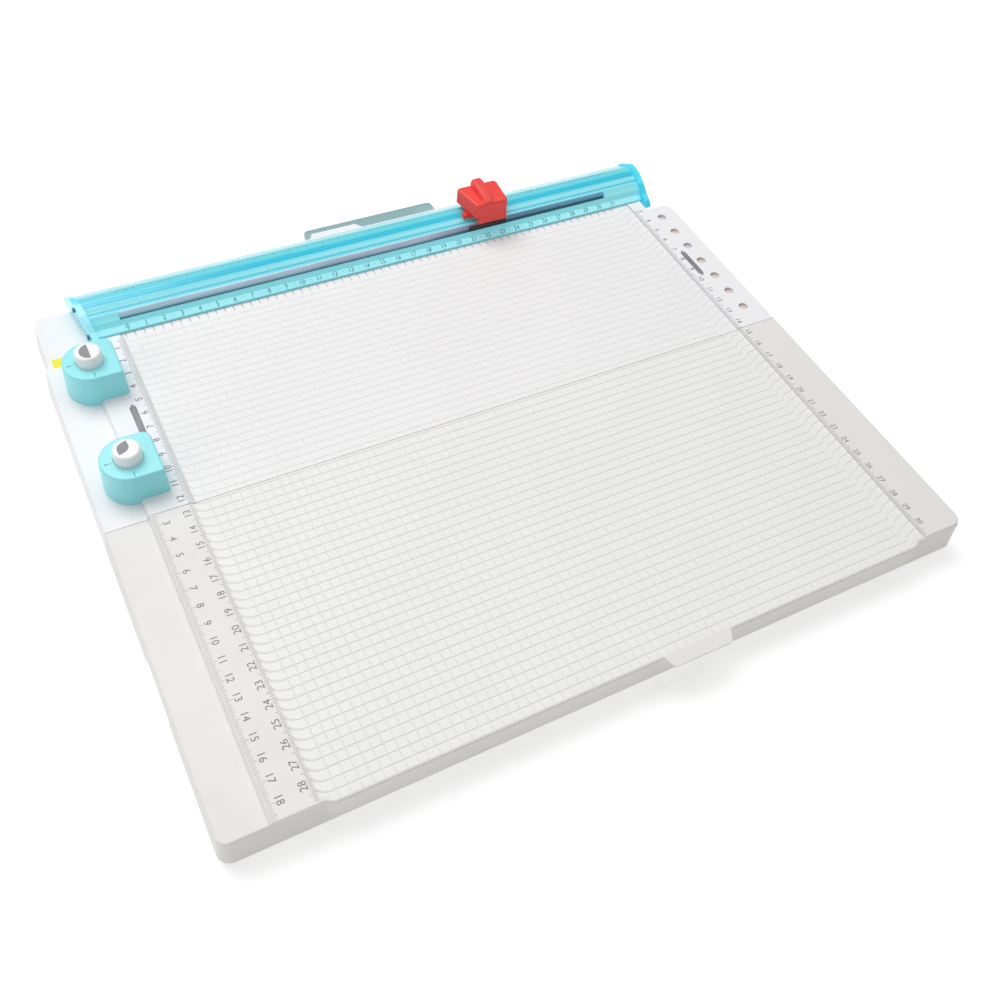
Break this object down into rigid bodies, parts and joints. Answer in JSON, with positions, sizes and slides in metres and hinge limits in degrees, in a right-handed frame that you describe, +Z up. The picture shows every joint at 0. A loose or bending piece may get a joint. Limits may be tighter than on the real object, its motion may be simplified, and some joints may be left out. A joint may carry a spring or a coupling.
{
  "type": "folding paper trimmer and score board",
  "caption": "Folding white score board with a hinged clear rail that carries a sliding blade, corner punches at the left and a carry handle that pulls out behind.",
  "frame": {"origin": "middle of the outline, on the surface that the board stands on", "axes": "+X along the trimmer rail to the right, +Y towards the rail and the carry handle, +Z up"},
  "size_m": [0.3966, 0.3492, 0.0486],
  "materials": {
    "board_rear": "fine satin moulding",
    "board_front": "fine satin moulding",
    "foot_rubber": "matt rubber",
    "screw_steel": "zinc plated",
    "hinge_steel": "plain steel",
    "rail_clear": "clear tinted plastic, glossy",
    "rail_cap": "clear tinted plastic, glossy",
    "hinge_ear": "moulded",
    "liner_grey": "satin",
    "grip_rubber": "soft rubber",
    "mat_grey": "satin",
    "carriage_red": "satin moulding",
    "carriage_inner": "moulded",
    "blade_steel": "ground edge",
    "spring_steel": "wire",
    "punch_aqua": "satin gloss moulding",
    "knob_white": "gloss",
    "plunger_white": "moulded",
    "tool_steel": "ground steel",
    "handle_clear": "clear tinted plastic",
    "marker_grey": "inlaid print"
  },
  "bodies": {
    "rear_half": {"rear_deck": "board_rear", "rear_score_plate": "board_rear", "rear_base_cover": "board_rear", "rear_feet": "foot_rubber", "rear_cover_screws": "screw_steel", "chip_plugs": "board_rear", "rear_hinge_leaves": "hinge_steel", "fold_hinge_pins": "hinge_steel", "rail_hinge_ears": "hinge_ear", "cutting_mat": "mat_grey", "marker_inlays": "marker_grey", "rear_punch_housing": "punch_aqua", "rear_punch_die": "tool_steel", "rear_punch_spring": "spring_steel", "front_punch_housing": "punch_aqua", "front_punch_die": "tool_steel", "front_punch_spring": "spring_steel"},
    "front_half": {"front_deck": "board_front", "front_score_plate": "board_front", "front_base_cover": "board_front", "front_feet": "foot_rubber", "front_cover_screws": "screw_steel", "front_hinge_leaves": "hinge_steel"},
    "rail_unit": {"rail": "rail_clear", "rail_hinge_pins": "hinge_steel", "slot_liner": "liner_grey", "rail_grip_strip": "grip_rubber", "rail_cap_left": "rail_cap", "rail_cap_right": "rail_cap", "rail_cap_screws": "screw_steel"},
    "carriage": {"carriage_slider": "carriage_red", "carriage_shoes": "carriage_inner", "cutter_spring": "spring_steel"},
    "cutter": {"carriage_cover": "carriage_red", "blade_holder": "carriage_inner", "blade": "blade_steel"},
    "rear_press": {"rear_punch_plunger": "plunger_white", "rear_punch_tool": "tool_steel"},
    "rear_knob": {"rear_punch_knob": "knob_white"},
    "front_press": {"front_punch_plunger": "plunger_white", "front_punch_tool": "tool_steel"},
    "front_knob": {"front_punch_knob": "knob_white"},
    "handle": {"handle_grip": "handle_clear", "handle_arms": "handle_clear"}
  },
  "joints": [
    {"name": "board_fold", "type": "hinge", "parent": "rear_half", "child": "front_half", "pos_m": [0, -0.00185, 0.0015], "axis": [1, 0, 0], "range_deg": [0, 180]},
    {"name": "rail_lift", "type": "hinge", "parent": "rear_half", "child": "rail_unit", "pos_m": [0, 0.15515, 0.0236], "axis": [-1, 0, 0], "range_deg": [0, 75]},
    {"name": "carriage_slide", "type": "slide", "parent": "rail_unit", "child": "carriage", "axis": [1, 0, 0], "range_m": [-0.211, 0.0715]},
    {"name": "cutter_press", "type": "slide", "parent": "carriage", "child": "cutter", "axis": [0, 0, -1], "range_m": [0, 0.0015], "stiffness_N_per_m": 1500, "springref_m": -0.001, "deforming": ["cutter_spring"]},
    {"name": "handle_pull", "type": "slide", "parent": "rear_half", "child": "handle", "axis": [0, 1, 0], "range_m": [0, 0.035]},
    {"name": "rear_punch_press", "type": "slide", "parent": "rear_half", "child": "rear_press", "axis": [0, 0, -1], "range_m": [0, 0.004], "stiffness_N_per_m": 2500, "springref_m": -0.001, "deforming": ["rear_punch_spring"]},
    {"name": "rear_knob_turn", "type": "hinge", "parent": "rear_press", "child": "rear_knob", "pos_m": [-0.1754, 0.0931, 0.04], "axis": [0, 0, 1], "range_deg": [0, 90]},
    {"name": "front_punch_press", "type": "slide", "parent": "rear_half", "child": "front_press", "axis": [0, 0, -1], "range_m": [0, 0.004], "stiffness_N_per_m": 2500, "springref_m": -0.001, "deforming": ["front_punch_spring"]},
    {"name": "front_knob_turn", "type": "hinge", "parent": "front_press", "child": "front_knob", "pos_m": [-0.1754, 0.02345, 0.04], "axis": [0, 0, 1], "range_deg": [0, 90]}
  ]
}
